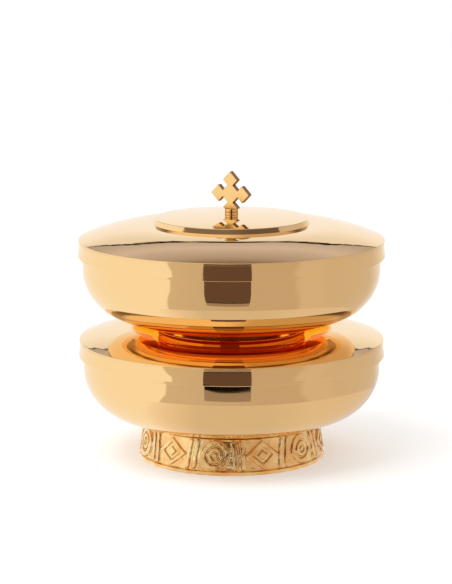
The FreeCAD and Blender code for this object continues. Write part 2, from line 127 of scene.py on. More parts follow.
def turned(name, outline, facets=360):
    """Surface of revolution: point (i, j) is (r_j cos a_i, r_j sin a_i, z_j), with the angles a_i
    spread evenly. An outline that ends on the axis closes there in a fan round one point."""
    on_axis = outline[0, 0] < 1e-9
    rows = outline[1:-1] if on_axis else outline
    angle = np.linspace(0, 2 * math.pi, facets, endpoint=False)[:, None]
    grid = np.stack(
        [rows[:, 0] * np.cos(angle), rows[:, 0] * np.sin(angle), rows[:, 1] + 0 * angle], axis=-1
    )
    points = grid.reshape(-1, 3)
    count = len(rows)
    faces = lattice(facets, count, not on_axis).tolist()
    if on_axis:
        poles = np.array([[0, 0, outline[0, 1]], [0, 0, outline[-1, 1]]])
        points = np.concatenate([points, poles])
        here = np.arange(facets)
        beside = (here + 1) % facets
        first, last = facets * count, facets * count + 1
        ends = here * count + count - 1
        ends_beside = beside * count + count - 1
        faces += np.stack([here * 0 + first, beside * count, here * count], axis=1).tolist()
        faces += np.stack([here * 0 + last, ends, ends_beside], axis=1).tolist()
    return make_piece(name, points, faces)


def smooth_step(value):
    """Goes from 0 to 1 as the value does, level at both ends: 3 v squared less 2 v cubed."""
    share = np.clip(value, 0, 1)
    return share * share * (3 - 2 * share)


def stroke(distance, half_width, bevel):
    """Raised band: full height within its half width, falling to nothing over the bevel."""
    return smooth_step((half_width + bevel - distance) / bevel)


def bar_distance(x, y, first, last):
    """Distance in the plane from points (x, y) to the segment between two points."""
    dx, dy = last[0] - first[0], last[1] - first[1]
    share = np.clip(((x - first[0]) * dx + (y - first[1]) * dy) / (dx * dx + dy * dy), 0, 1)
    return np.hypot(x - first[0] - share * dx, y - first[1] - share * dy)


def frieze_height(around, up, tall):
    """Share of the full relief, 0 to 1, at an arc length from a roundel's centre and a height on
    the taper, in mm: a roundel of two rings and a boss, a pair of bars, then a nested lozenge."""
    middle = tall * 0.5
    side = np.abs(around)
    from_roundel = np.hypot(side, up - middle)
    height = stroke(np.abs(from_roundel - 6.3), 0.9, 0.65)
    height = np.maximum(height, stroke(np.abs(from_roundel - 3.0), 0.6, 0.6))
    height = np.maximum(height, stroke(from_roundel, 0.8, 0.5))
    for foot, head in ((11.4, 9.8), (15.2, 13.6)):
        bar = bar_distance(side, up, (foot, 2.2), (head, tall - 2.0))
        height = np.maximum(height, stroke(bar, 0.8, 0.65))
    from_lozenge = np.abs(side - frieze_pitch / 2) / 1.25 + np.abs(up - middle)
    height = np.maximum(height, stroke(np.abs(from_lozenge - 5.9), 1.0, 0.7))
    return np.maximum(height, stroke(from_lozenge, 1.9, 0.7))


foot_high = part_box("foot_ring")[1] / MM
foot_radius = foot_high.x
foot_top = foot_high.z
foot_top_radius = 46.6
foot_band = 1.8
foot_wall = 4.0
web_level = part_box("foot_web")[1].z / MM
web_underside = web_level - 2.0
rebate_radius = foot_top_radius - 2.4
ledge_radius = rebate_radius - 4.0
edge_round = 0.3

frieze_count = 6
frieze_turn = math.radians(22.7)            # from -Y to the middle of the first roundel
frieze_radius = 48.0                        # mean radius of the taper
frieze_pitch = 2 * math.pi * frieze_radius / frieze_count
frieze_relief = 0.95
frieze_columns = 1320
taper = np.linspace(
    [foot_radius, foot_band + edge_round], [foot_top_radius, foot_top - edge_round], 60
)
foot_outline = joined(
    [
        line((foot_radius - foot_wall, 0), (foot_radius, 0), 5),
        line((foot_radius, 0), (foot_radius, foot_band), 4),
        np.concatenate([[[foot_radius, foot_band]], taper, [[foot_top_radius, foot_top]]]),
        line((foot_top_radius, foot_top), (foot_top_radius - 0.9, foot_top), 3),
        line((foot_top_radius - 0.9, foot_top), (rebate_radius, web_level), 3),
        line((rebate_radius, web_level), (rebate_radius, web_underside), 2),
        line((rebate_radius, web_underside), (ledge_radius, web_underside), 2),
        line((ledge_radius, web_underside), (ledge_radius, web_underside - 2.0), 2),
        line((ledge_radius, web_underside - 2.0), (foot_radius - foot_wall, 0), 4),
    ],
    {0: edge_round, 1: edge_round, 2: edge_round},
    True,
)
on_taper = (foot_outline[:, 1] > foot_band) & (foot_outline[:, 0] >= foot_top_radius - 1e-6)
slant = math.hypot(foot_radius - foot_top_radius, foot_top - foot_band)
up_taper = (foot_outline[:, 1] - foot_band) * slant / (foot_top - foot_band)
column = np.linspace(0, 2 * math.pi, frieze_columns, endpoint=False)[:, None]
# Arc length from the nearest roundel: the angle is folded into one pitch, at the mean radius.
from_first = (column + math.pi / 2 - frieze_turn) * frieze_radius
around = (from_first + frieze_pitch / 2) % frieze_pitch - frieze_pitch / 2
# A founder's hand: each line wanders a little, by slow waves round and up the ring.
wander = 0.16 * np.sin(7 * column + 0.55 * up_taper) + 0.12 * np.sin(17 * column - 0.9 * up_taper)
drift = 0.14 * np.sin(11 * column + 0.4 * up_taper) + 0.1 * np.sin(23 * column)
height = frieze_height(around + wander, up_taper + drift, slant)
texture = 0.02 * np.sin(61 * column + 1.7 * up_taper) * np.sin(37 * column - 2.1 * up_taper)
height = np.clip(height + texture * (1 - height) + 0.05, 0, 1)
edge_blend = smooth_step(up_taper / 0.7) * smooth_step((slant - up_taper) / 0.7)
sunk = np.where(on_taper, frieze_relief * (1 - height) * edge_blend, 0)
inward = np.array([-(foot_top - foot_band), -(foot_radius - foot_top_radius)]) / slant
ring_r = foot_outline[:, 0] + sunk * inward[0]
ring_z = foot_outline[:, 1] + sunk * inward[1]
ring_points = np.stack([ring_r * np.cos(column), ring_r * np.sin(column), ring_z], axis=-1)
foot_ring = make_piece(
    "cast_foot_ring",
    ring_points.reshape(-1, 3) * MM,
    lattice(frieze_columns, len(foot_outline), True).tolist(),
    60,
)
# A crevice is where the relief is neither high nor low: 4 h (1 - h) of its height h.
# The crevice share is where the foot's material paints shade.
crevice = foot_ring.data.attributes.new("crevice", "FLOAT", "POINT")
crevice_share = np.where(on_taper, 4 * height * (1 - height) * edge_blend, 0)
crevice.data.foreach_set("value", crevice_share.reshape(-1).astype(np.float32))


def linear(hex_colour):
    """Linear RGBA of an sRGB hex colour."""
    channels = np.array([int(hex_colour[start:start + 2], 16) for start in (1, 3, 5)]) / 255
    bright = ((channels + 0.055) / 1.055) ** 2.4
    return (*np.where(channels <= 0.04045, channels / 12.92, bright).tolist(), 1.0)


def add_node(tree, kind, inputs=None, **settings):
    """Adds a node. A setting is one of its own properties; an input is a value or an output."""
    node = tree.nodes.new(kind)
    for name, value in settings.items():
        setattr(node, name, value)
    for name, value in (inputs or {}).items():
        if isinstance(value, bpy.types.NodeSocket):
            tree.links.new(value, node.inputs[name])
        else:
            node.inputs[name].default_value = value
    return node


def new_metal(name, colour, roughness):
    """Material with one metal shader; returns it with its tree, its shader and a coordinate node."""
    material = bpy.data.materials.new(name)
    material.use_nodes = True
    tree = material.node_tree
    shader = tree.nodes["Principled BSDF"]
    shader.inputs["Base Color"].default_value = linear(colour)
    shader.inputs["Metallic"].default_value = 1.0
    shader.inputs["Roughness"].default_value = roughness
    return material, tree, shader, add_node(tree, "ShaderNodeTexCoord")


def wear(material, *pieces):
    """Puts a material on every slot of the pieces."""
    for piece in pieces:
        piece.data.materials.clear()
        piece.data.materials.append(material)


# Cast brass, gold plated over a burnished relief. Lines and field both stand bright, and the steep sides of
# the lines are painted dark brown, a painted shade in the crevices of the relief, with a fine cast grain.
cast_gilt, tree, shader, place = new_metal("cast_gilt", "#FFD28A", 0.15)
creviced = add_node(tree, "ShaderNodeAttribute", attribute_name="crevice")
grain = add_node(
    tree,
    "ShaderNodeTexNoise",
    {"Vector": place.outputs["Object"], "Scale": 1 / (1.6 * MM), "Detail": 4},
)
# Painted shade: the crevice share, broken by a fine grain, darkens the steep sides of the lines.
crevice_shade_mask = add_node(
    tree, "ShaderNodeMath", {0: creviced.outputs["Fac"], 1: grain.outputs["Fac"]}, operation="MULTIPLY"
)
painted_crevice_shade = add_node(
    tree,
    "ShaderNodeMapRange",
    {"Value": crevice_shade_mask.outputs[0], "From Min": 0.2, "From Max": 0.48, "To Min": 0.0, "To Max": 0.75},
    interpolation_type="SMOOTHSTEP",
)
clouding = add_node(
    tree,
    "ShaderNodeTexNoise",
    {"Vector": place.outputs["Object"], "Scale": 1 / (7 * MM), "Detail": 2.0},
)
plated = add_node(
    tree,
    "ShaderNodeMapRange",
    {"Value": clouding.outputs["Fac"], "From Min": 0.38, "From Max": 0.66, "To Min": 0.0, "To Max": 1.0},
)
burnished = add_node(
    tree,
    "ShaderNodeMix",
    {"Factor": plated.outputs["Result"], "A": linear("#FFDC9C"), "B": linear("#F8BE76")},
    data_type="RGBA",
)
# The crevices are mixed towards dark brown #7A3C14, the painted shade.
tone = add_node(
    tree,
    "ShaderNodeMix",
    {"Factor": painted_crevice_shade.outputs["Result"], "A": burnished.outputs["Result"], "B": linear("#7A3C14")},
    data_type="RGBA",
)
tree.links.new(tone.outputs["Result"], shader.inputs["Base Color"])
dull = add_node(
    tree,
    "ShaderNodeMapRange",
    {"Value": creviced.outputs["Fac"], "From Min": 0.0, "From Max": 1.0, "To Min": 0.12, "To Max": 0.26},
)
tree.links.new(dull.outputs["Result"], shader.inputs["Roughness"])
pits = add_node(
    tree,
    "ShaderNodeTexNoise",
    {"Vector": place.outputs["Object"], "Scale": 1 / (0.9 * MM), "Detail": 3},
)
relief = add_node(
    tree, "ShaderNodeBump", {"Strength": 0.5, "Distance": 0.06 * MM, "Height": pits.outputs["Fac"]}
)
# The field was worked over by hand, so it swells and sinks by some tenths of a millimetre.
swell = add_node(
    tree,
    "ShaderNodeTexNoise",
    {"Vector": place.outputs["Object"], "Scale": 1 / (4.5 * MM), "Detail": 1.5},
)
relief = add_node(
    tree,
    "ShaderNodeBump",
    {
        "Strength": 1.0,
        "Distance": 0.55 * MM,
        "Height": swell.outputs["Fac"],
        "Normal": relief.outputs["Normal"],
    },
)
tree.links.new(relief.outputs["Normal"], shader.inputs["Normal"])
wear(cast_gilt, foot_ring)
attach(foot_ring, "base")
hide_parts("foot_ring")


# ---------------------------------------------------------------------------------------------
# Web, studs, washers, nuts and bearing rings. Unplated brass off the lathe, which draw the bowls
# down on what carries them. They are seen from below or when a tier is lifted off.

# Turned brass: fine tool marks run round the axis, at about four to the millimetre.
turned_brass, tree, shader, place = new_metal("turned_brass", "#DDC18B", 0.3)
flat = add_node(tree, "ShaderNodeSeparateXYZ", {"Vector": place.outputs["Object"]})
squares = [
    add_node(tree, "ShaderNodeMath", {0: flat.outputs[axis], 1: 2.0}, operation="POWER").outputs[0]
    for axis in ("X", "Y")
]
square_sum = add_node(tree, "ShaderNodeMath", {0: squares[0], 1: squares[1]})
radius_out = add_node(tree, "ShaderNodeMath", {0: square_sum.outputs[0]}, operation="SQRT")
travel = add_node(tree, "ShaderNodeMath", {0: radius_out.outputs[0], 1: flat.outputs["Z"]})
marks = add_node(
    tree,
    "ShaderNodeTexNoise",
    {"W": travel.outputs[0], "Scale": 1 / (0.5 * MM), "Detail": 2},
    noise_dimensions="1D",
)
ridges = add_node(
    tree, "ShaderNodeBump", {"Strength": 0.6, "Distance": 0.03 * MM, "Height": marks.outputs["Fac"]}
)
tree.links.new(ridges.outputs["Normal"], shader.inputs["Normal"])
stain = add_node(
    tree,
    "ShaderNodeTexNoise",
    {"Vector": place.outputs["Object"], "Scale": 1 / (9 * MM), "Detail": 5},
)
blotch = add_node(
    tree,
    "ShaderNodeMix",
    {"Factor": stain.outputs["Fac"], "A": linear("#E2C68E"), "B": linear("#B8935A")},
    data_type="RGBA",
)
tree.links.new(blotch.outputs["Result"], shader.inputs["Base Color"])
for name in ("foot_web", "base_stud", "base_washer", "base_nut", "cover_bearing_ring", "seat_spacer",
             "tier_stud", "tier_washer", "tier_nut", "lid_bearing_ring", "lid_washer", "lid_nut"):
    wear(turned_brass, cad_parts[name])


# ---------------------------------------------------------------------------------------------
# Bowls. Each is spun from sheet brass over a former: an upright wall turns in over a knuckle and
# a long arc to a flat floor. Both faces are buffed to a mirror, then plated with gold.


def bowl_outline(level, radius, tall):
    """Section of a bowl: two skins on shared centres, one wall apart, with a rounded rim."""
    wall, floor, bend, drop, rim = 1.1, 30.0, 26.0, 4.1, 0.4
    knuckle = (radius - bend, bend + drop)
    long_radius = ((knuckle[0] - floor) ** 2 + knuckle[1] ** 2 - bend ** 2) / (2 * drop)
    join = math.degrees(math.atan2(knuckle[1] - long_radius, knuckle[0] - floor))
    sweep = (floor, long_radius)
    outer = np.concatenate(
        [arc(sweep, long_radius, -90, join, 50), arc(knuckle, bend, join, 0, 44)[1:]]
    )
    inner = np.concatenate(
        [arc(knuckle, bend - wall, 0, join, 40), arc(sweep, long_radius - wall, join, -90, 40)[1:]]
    )
    return joined(
        [
            line((0, 0), (floor, 0), 10),
            outer,
            line((radius, knuckle[1]), (radius, tall), 24),
            line((radius, tall), (radius - wall, tall), 6),
            line((radius - wall, tall), (radius - wall, knuckle[1]), 20),
            inner,
            line((floor, wall), (0, wall), 8),
        ],
        {2: rim, 3: rim},
        False,
    ) + [0, level]


# A bowl stops a hair short of the ring that bears on its rim, so that the two faces stay apart.
rim_gap = 0.02
bowls = {}
for name in ("lower_bowl", "upper_bowl"):
    low, high = (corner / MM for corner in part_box(name))
    section = bowl_outline(low.z, high.x, high.z - low.z - rim_gap)
    bowls[name] = turned(f"spun_{name}", section * MM, 384)


last_bounce = 3.5                           # past the third bounce the metal glows
glow_inner, glow_outer = 43, 68             # radii between which the glow changes colour, mm


def mirror_gilt(name, colour, ripple, haze):
    """Gold plate over buffed spun brass. Faint rings from the spinning tool, a few mm apart, and a
    slow unevenness of the sheet bend the reflections; buffing haze softens them in patches. The
    glow is no property of gold: it stands for light that is passed to and fro between two polished
    faces more often than it is followed, and it reddens towards the axis."""
    material, tree, shader, place = new_metal(name, colour, 0.05)
    split = add_node(tree, "ShaderNodeSeparateXYZ", {"Vector": place.outputs["Object"]})
    across = [
        add_node(tree, "ShaderNodeMath", {0: split.outputs[axis], 1: 2.0}, operation="POWER").outputs[0]
        for axis in ("X", "Y")
    ]
    total = add_node(tree, "ShaderNodeMath", {0: across[0], 1: across[1]})
    out = add_node(tree, "ShaderNodeMath", {0: total.outputs[0]}, operation="SQRT")
    along = add_node(
        tree, "ShaderNodeMath", {0: out.outputs[0], 1: split.outputs["Z"]}, operation="SUBTRACT"
    )
    rings = add_node(
        tree,
        "ShaderNodeTexNoise",
        {"W": along.outputs[0], "Scale": 1 / (2.6 * MM), "Detail": 1.0},
        noise_dimensions="1D",
    )
    first = add_node(
        tree, "ShaderNodeBump", {"Strength": 1.0, "Distance": ripple * MM, "Height": rings.outputs["Fac"]}
    )
    sheet = add_node(
        tree,
        "ShaderNodeTexNoise",
        {"Vector": place.outputs["Object"], "Scale": 1 / (28 * MM), "Detail": 1.0},
    )
    second = add_node(
        tree,
        "ShaderNodeBump",
        {
            "Strength": 1.0,
            "Distance": 0.06 * MM,
            "Height": sheet.outputs["Fac"],
            "Normal": first.outputs["Normal"],
        },
    )
    tree.links.new(second.outputs["Normal"], shader.inputs["Normal"])
    cloud = add_node(
        tree,
        "ShaderNodeTexNoise",
        {"Vector": place.outputs["Object"], "Scale": 1 / (14 * MM), "Detail": 4.0},
    )
    soft = add_node(
        tree,
        "ShaderNodeMapRange",
        {"Value": cloud.outputs["Fac"], "From Min": 0.3, "From Max": 0.75, "To Min": 0.02, "To Max": haze},
    )
    tree.links.new(soft.outputs["Result"], shader.inputs["Roughness"])
    inwards = add_node(
        tree,
        "ShaderNodeMapRange",
        {"Value": out.outputs[0], "From Min": glow_inner * MM, "From Max": glow_outer * MM},
    )
    glow = add_node(
        tree,
        "ShaderNodeMix",
        {"Factor": inwards.outputs["Result"], "A": linear("#66180E"), "B": linear("#A49A9C")},
        data_type="RGBA",
    )
    tree.links.new(glow.outputs["Result"], shader.inputs["Emission Color"])
    path = add_node(tree, "ShaderNodeLightPath")
    spent = add_node(
        tree, "ShaderNodeMath", {0: path.outputs["Ray Depth"], 1: last_bounce}, operation="GREATER_THAN"
    )
    tree.links.new(spent.outputs[0], shader.inputs["Emission Strength"])
    return material


bowl_gilt = mirror_gilt("bowl_mirror_gilt", "#FAD499", 0.004, 0.07)
for name, body in (("lower_bowl", "base"), ("upper_bowl", "upper_tier")):
    wear(bowl_gilt, bowls[name])
    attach(bowls[name], body)
    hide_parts(name)


# ---------------------------------------------------------------------------------------------
# Cover of the lower bowl. Spun from sheet brass like the bowls: a skirt with a lip slips over the
# rim, and above its crease a wide crown dips to the level seat that carries the upper tier.


def level_arc(crest, other, count=40):
    """Arc from a crest, where it is level, to another point: radius (run^2 + drop^2) / 2 drop."""
    run, drop = other[0] - crest[0], other[1] - crest[1]
    radius = (run * run + drop * drop) / (2 * drop)
    centre = (crest[0], crest[1] + radius)
    first = -90.0 if radius > 0 else 90.0
    last = math.degrees(math.atan2(other[1] - centre[1], other[0] - centre[0]))
    return arc(centre, abs(radius), first, last, count)


def skirt_side(lip_radius, crease_radius, lip_tall, tall):
    """Outside of a skirt: an upright lip, then a hollow sweep up to the crease."""
    first, last = np.array([lip_radius, lip_tall]), np.array([crease_radius, tall])
    half = (last - first) / 2
    outward = np.array([half[1], -half[0]]) / np.linalg.norm(half)
    sweep = 22.0
    centre = (first + last) / 2 + outward * math.sqrt(sweep ** 2 - half @ half)
    start, stop = (math.degrees(math.atan2(*(end - centre)[::-1])) % 360 for end in (first, last))
    return line((lip_radius, 0), first, 6), arc(centre, sweep, start, stop, 40)


def ripples(points, depth, pitch):
    """Rings that the spinning tool leaves: the level rises and falls by the depth every pitch."""
    waved = points.copy()
    waved[:, 1] += depth * np.sin(2 * math.pi * points[:, 0] / pitch) * np.sin(points[:, 0] * 0.31)
    return waved


def shell_outline(level, lip_radius, top, bore, ripple):
    """Section of a cover or lid of one sheet's thickness. The top is a list of stretches from the
    crease inwards; the inside repeats it one sheet lower."""
    sheet, lip, tall = 1.0, 0.4, 8.8
    crease, inner = lip_radius - lip, lip_radius - lip - sheet
    lip_side, sweep_side = skirt_side(lip_radius, crease, 1.2, tall)
    over = [ripples(stretch, ripple, 3.1) for stretch in top]
    under = [stretch[::-1] - [0, sheet] for stretch in reversed(top)]
    height = top[-1][-1, 1]
    return joined(
        [
            line((inner, 0), (lip_radius, 0), 6),
            lip_side,
            sweep_side,
            *over,
            line((bore, height), (bore, height - sheet), 3),
            *under,
            line(under[-1][-1], (inner, tall - sheet), 3),
            line((inner, tall - sheet), (inner, 0), 10),
        ],
        {0: edge_round, 1: edge_round, 2: edge_round},
        True,
    ) + [0, level]


skirt_tall = 8.8
cover_low, cover_high = (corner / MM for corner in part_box("cover_shell"))
crease_radius = cover_high.x - 0.4
seat_low, seat_high = (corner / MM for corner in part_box("seat_ring"))
crown_margin, seat_margin = 12.4, 2.4        # from the seat ring outwards
crown = (seat_high.x + crown_margin, cover_high.z - cover_low.z)
seat = (seat_high.x + seat_margin, seat_low.z - cover_low.z)
stud_bore = 3.15
cover = turned(
    "spun_cover",
    shell_outline(
        cover_low.z,
        cover_high.x,
        [
            level_arc(crown, (crease_radius, skirt_tall), 60)[::-1],
            np.linspace(crown, seat, 130),
            line(seat, (stud_bore, seat[1]), 20),
        ],
        stud_bore,
        0.006,
    ) * MM,
    384,
)


def mark_deep(piece, crest):
    """Marks the dip inside the crest: 1 there, falling to 0 just past the crest's radius."""
    count = len(piece.data.vertices)
    spots = np.zeros(count * 3, np.float32)
    piece.data.vertices.foreach_get("co", spots)
    spots = spots.reshape(-1, 3) / MM
    share = smooth_step((crest + 1.5 - np.hypot(spots[:, 0], spots[:, 1])) / 3.0)
    deep = piece.data.attributes.new("deep", "FLOAT", "POINT")
    deep.data.foreach_set("value", share.astype(np.float32))


# The dip round the seat ring gets a yellower colour, a painted reflection. This is for the look, so that
# light thrown once off the dip isn't paler than the light that goes to and fro between the tiers.
cover_gilt = mirror_gilt("cover_mirror_gilt", "#FAD499", 0.005, 0.08)
mark_deep(cover, crown[0])
tree = cover_gilt.node_tree
dip_reflection_mask = add_node(tree, "ShaderNodeAttribute", attribute_name="deep")
painted_reflection_tint = add_node(
    tree,
    "ShaderNodeMix",
    {"Factor": dip_reflection_mask.outputs["Fac"], "A": linear("#FAD499"), "B": linear("#F8BA64")},
    data_type="RGBA",
)
tree.links.new(painted_reflection_tint.outputs["Result"], tree.nodes["Principled BSDF"].inputs["Base Color"])
# The painted reflection also turns the dip's glancing tint yellow.
painted_glancing_tint = add_node(
    tree,
    "ShaderNodeMix",
    {"Factor": dip_reflection_mask.outputs["Fac"], "A": linear("#FFFFFF"), "B": linear("#FFCC80")},
    data_type="RGBA",
)
tree.links.new(painted_glancing_tint.outputs["Result"], tree.nodes["Principled BSDF"].inputs["Specular Tint"])
wear(cover_gilt, cover)
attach(cover, "upper_tier")
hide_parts("cover_shell")


# ---------------------------------------------------------------------------------------------
# Seat ring. A narrow turned band, gilt like the cover and soldered on it, that the upper bowl
# seems to stand in. It flares upwards, and its foot is milled with fine upright notches.


def seat_band(radius, wall, flare, low, tall):
    """Ring whose flared outside is notched near the base: r falls by the notch depth times a
    raised cosine of the angle, fading out over the lowest part of the height."""
    foot = radius - flare
    outline = joined(
        [
            line((foot - wall, 0), (foot, 0), 4),
            line((foot, 0), (radius, tall), 40),
            line((radius, tall), (radius - wall, tall), 6),
            line((radius - wall, tall), (foot - wall, 0), 6),
        ],
        {1: edge_round, 2: edge_round},
        True,
    )
    notches, notch_depth, notch_tall, columns = 150, 0.12, 1.1, 1500
    angle = np.linspace(0, 2 * math.pi, columns, endpoint=False)[:, None]
    face = foot + flare * outline[:, 1] / tall
    outside = smooth_step((outline[:, 0] - face + 0.3) / 0.3)
    outside = outside * smooth_step((notch_tall - outline[:, 1]) / 0.3)
    reach = outline[:, 0] - notch_depth * outside * (0.5 - 0.5 * np.cos(notches * angle)) ** 2
    up = outline[:, 1] + low + 0 * angle
    points = np.stack([reach * np.cos(angle), reach * np.sin(angle), up], axis=-1)
    faces = lattice(columns, len(outline), True).tolist()
    return make_piece("milled_seat_ring", points.reshape(-1, 3) * MM, faces, 40)


seat_ring = seat_band(seat_high.x, 1.6, 1.2, seat_low.z, seat_high.z - seat_low.z)
# The seat ring takes the same painted reflection as the dip round it.
mark_deep(seat_ring, crown[0])
wear(cover_gilt, seat_ring)
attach(seat_ring, "upper_tier")
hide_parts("seat_ring")


# ---------------------------------------------------------------------------------------------
# Lid. The same skirt as the cover's under one smooth dome, spun in a single sheet. A level field
# in its middle carries the raised disc.

lid_low, lid_high = (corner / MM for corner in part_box("lid_shell"))
disc_low, disc_high = (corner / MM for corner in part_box("lid_disc"))
dome_edge = (disc_high.x, lid_high.z - lid_low.z)
stem_bore = 1.65
lid = turned(
    "spun_lid",
    shell_outline(
        lid_low.z,
        lid_high.x,
        [
            level_arc(dome_edge, (crease_radius, skirt_tall), 120)[::-1],
            line(dome_edge, (stem_bore, dome_edge[1]), 20),
        ],
        stem_bore,
        0.0012,
    ) * MM,
    384,
)
wear(cover_gilt, lid)
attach(lid, "lid")
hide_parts("lid_shell")


# ---------------------------------------------------------------------------------------------
# Raised disc. A shallow turned dome with a short tapered edge, hollow underneath apart from its
# hub, soldered to the lid's level field.

disc_taper, disc_step, disc_wall, disc_hub, disc_flat = 0.75, 2.7, 1.4, 8.0, 4.4
disc_tall = disc_high.z - disc_low.z
disc_edge = (disc_high.x - disc_taper, disc_step)
disc_inside = disc_edge[0] - disc_wall
disc = turned(
    "turned_disc",
    (
        joined(
            [
                line((stem_bore, 0), (disc_hub, 0), 4),
                line((disc_hub, 0), (disc_hub, disc_step - disc_wall), 4),
                line((disc_hub, disc_step - disc_wall), (disc_inside, disc_step - disc_wall), 6),
                line((disc_inside, disc_step - disc_wall), (disc_inside, 0), 4),
                line((disc_inside, 0), (disc_high.x, 0), 4),
                line((disc_high.x, 0), disc_edge, 24),
                level_arc((disc_flat, disc_tall), disc_edge, 100)[::-1],
                line((disc_flat, disc_tall), (stem_bore, disc_tall), 4),
                line((stem_bore, disc_tall), (stem_bore, 0), 4),
            ],
            {5: edge_round},
            True,
        )
        + [0, disc_low.z]
    ) * MM,
    384,
)
wear(cover_gilt, disc)
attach(disc, "lid")
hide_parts("lid_disc")


# ---------------------------------------------------------------------------------------------
# Collar. A small turned sleeve on the cross's stem, with six grooves filed up its side. It is
# clamped between the disc and the cross, and gilt with a satin finish.

collar_low, collar_high = (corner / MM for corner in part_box("lid_collar"))
collar_radius, collar_tall = 3.5, collar_high.z - collar_low.z
groove_width, groove_depth, groove_count, groove_turn = 0.5, 0.4, 6, math.radians(33)
line_width, line_depth = 0.3, 0.12
collar_columns = 720
collar_outline = joined(
    [
        line((stem_bore, 0), (collar_radius, 0), 6),
        np.linspace((collar_radius, 0), (collar_radius, collar_tall), 50),
        line((collar_radius, collar_tall), (stem_bore, collar_tall), 6),
        line((stem_bore, collar_tall), (stem_bore, 0), 4),
    ],
    {0: 0.2, 1: 0.2},
    True,
)
angle = np.linspace(0, 2 * math.pi, collar_columns, endpoint=False)[:, None]
groove_step = 2 * math.pi / groove_count
from_groove = (angle + math.pi / 2 - groove_turn + groove_step / 2) % groove_step - groove_step / 2
groove = smooth_step((groove_width / 2 + 0.05 - np.abs(from_groove) * collar_radius) / 0.1)
near_side = smooth_step((collar_outline[:, 0] - collar_radius + 0.8) / 0.4)
# A fine line is turned round the collar at half its height.
waist = smooth_step((line_width / 2 + 0.05 - np.abs(collar_outline[:, 1] - collar_tall / 2)) / 0.1)
reach = collar_outline[:, 0] - np.maximum(groove_depth * groove, line_depth * waist) * near_side
collar_points = np.stack(
    [reach * np.cos(angle), reach * np.sin(angle), collar_outline[:, 1] + collar_low.z + 0 * angle], axis=-1
)
collar = make_piece(
    "grooved_collar",
    collar_points.reshape(-1, 3) * MM,
    lattice(collar_columns, len(collar_outline), True).tolist(),
    40,
)

# This share carries painted shade into the collar's grooves and its turned line.
cut_shade = collar.data.attributes.new("cut_shade", "FLOAT", "POINT")
cut_shade.data.foreach_set("value", (np.maximum(groove, waist) * near_side).reshape(-1).astype(np.float32))

# Gold plate over brass that was only brushed: a satin face with short crossing scratches. Filed grooves,
# the turned line and sawn edges are painted darker, a painted shade in the grooves and along the plate's
# edges.
satin_gilt, tree, shader, place = new_metal("satin_gilt", "#FBD08A", 0.2)
filed = add_node(tree, "ShaderNodeAttribute", attribute_name="cut_shade")
# Painted shade: the marked grooves and edges are mixed towards dark brown #8A5C34.
painted_cut_shade = add_node(
    tree,
    "ShaderNodeMix",
    {"Factor": filed.outputs["Fac"], "A": linear("#FBD08A"), "B": linear("#8A5C34")},
    data_type="RGBA",
)
tree.links.new(painted_cut_shade.outputs["Result"], shader.inputs["Base Color"])
stretched = add_node(
    tree, "ShaderNodeMapping", {"Vector": place.outputs["Object"], "Scale": (1.0, 1.0, 0.12)}
)
brushing = add_node(
    tree,
    "ShaderNodeTexNoise",
    {"Vector": stretched.outputs[0], "Scale": 1 / (0.25 * MM), "Detail": 3},
)
scratches = add_node(
    tree, "ShaderNodeBump", {"Strength": 0.15, "Distance": 0.01 * MM, "Height": brushing.outputs["Fac"]}
)
tree.links.new(scratches.outputs["Normal"], shader.inputs["Normal"])
satin = add_node(
    tree,
    "ShaderNodeMapRange",
    {"Value": brushing.outputs["Fac"], "From Min": 0.3, "From Max": 0.7, "To Min": 0.15, "To Max": 0.22},
)
tree.links.new(satin.outputs["Result"], shader.inputs["Roughness"])
wear(satin_gilt, collar)
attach(collar, "lid")
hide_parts("lid_collar")


# ---------------------------------------------------------------------------------------------
# Cross. Sawn from flat brass, with four lozenge ends, the lowest cut off level where it stands on
# the collar. Its edges are eased with a file, and its threaded stem goes down through the lid.

cross_low, cross_high = (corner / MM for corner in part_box("lid_cross"))
reach, lozenge, neck = cross_high.x, 4.4, 1.65
half_plate = cross_high.y
cross_foot = collar_high.z
centre_up = cross_high.z - reach
arm = reach - lozenge
notch = arm - lozenge + neck
right_half = np.array(
    [
        (0, reach), (lozenge, arm), (neck, notch), (notch, neck), (arm, lozenge), (reach, 0),
        (arm, -lozenge), (notch, -neck), (neck, -notch), (lozenge, -arm),
        (lozenge - (centre_up - arm - cross_foot), cross_foot - centre_up),
    ]
)
outline = np.concatenate([right_half, right_half[:0:-1] * [-1, 1]])[::-1]
ahead = np.roll(outline, -1, axis=0) - outline
ahead /= np.linalg.norm(ahead, axis=1)[:, None]
side_out = np.stack([ahead[:, 1], -ahead[:, 0]], axis=1)
side_before = np.roll(side_out, 1, axis=0)
# Miter: a corner moves along the sum of its two sides' normals, divided by 1 plus their product.
miter = (side_before + side_out) / (1 + np.sum(side_before * side_out, axis=1))[:, None]
ease = 0.14
turn = np.linspace(0, math.pi / 2, 5)
inset = np.concatenate([ease * (1 - np.sin(turn)), ease * (1 - np.cos(turn))])
depth_of = np.concatenate(
    [-half_plate + ease * (1 - np.cos(turn)), half_plate - ease * (1 - np.sin(turn))]
)
rings = outline[None] - miter[None] * inset[:, None, None]
plate_points = np.stack(
    [rings[..., 0], 0 * rings[..., 0] + depth_of[:, None], rings[..., 1] + centre_up], axis=-1
)
corner_count, ring_count = len(outline), len(inset)
j, i = np.meshgrid(np.arange(ring_count - 1), np.arange(corner_count), indexing="ij")
beside = (i + 1) % corner_count
here, above = j * corner_count, (j + 1) * corner_count
sides = np.stack([here + i, here + beside, above + beside, above + i], axis=-1)
sides = sides.reshape(-1, 4).tolist()
front = np.arange(corner_count)[::-1].tolist()
back = (np.arange(corner_count) + (ring_count - 1) * corner_count).tolist()
cross = make_piece("sawn_cross", plate_points.reshape(-1, 3) * MM, sides + [front, back], 30)
